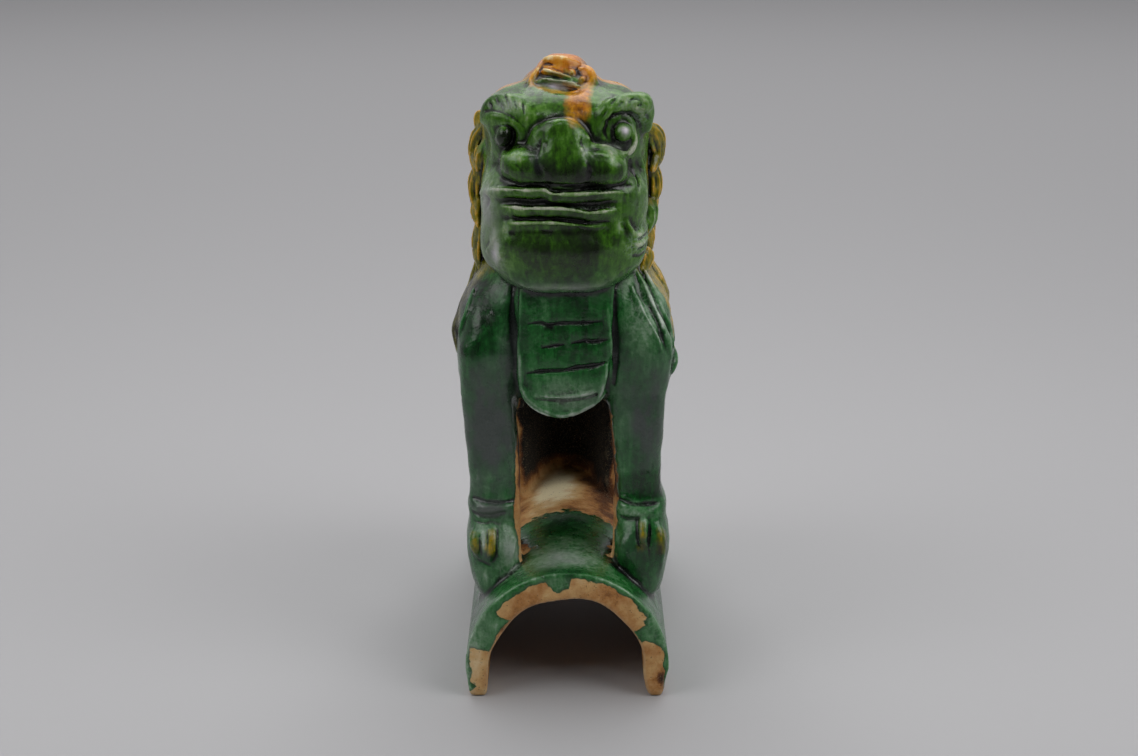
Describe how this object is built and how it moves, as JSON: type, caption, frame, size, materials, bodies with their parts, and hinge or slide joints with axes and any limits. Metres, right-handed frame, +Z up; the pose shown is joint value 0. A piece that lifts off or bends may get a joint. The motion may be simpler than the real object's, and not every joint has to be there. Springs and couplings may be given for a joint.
{
  "type": "ridge beast ornament",
  "caption": "Glazed half-round ridge tile carrying a seated guardian lion with curled mane, bib and bushy tail, open between its legs.",
  "frame": {"origin": "middle of the tile's footprint on the ground, under its two long edges", "axes": "+Z up from the ground to the lion's crest, -Y the way the lion looks and the tile's front rim faces, +X to the right of someone who faces the lion"},
  "size_m": [0.1116, 0.21, 0.3108],
  "materials": {
    "glaze": "glossy mottled copper-green lead glaze with amber on crest and mane, worn edges and bare tan clay at the rim and inside"
  },
  "bodies": {
    "root": {"lion_ridge_tile": "glaze"}
  },
  "joints": []
}
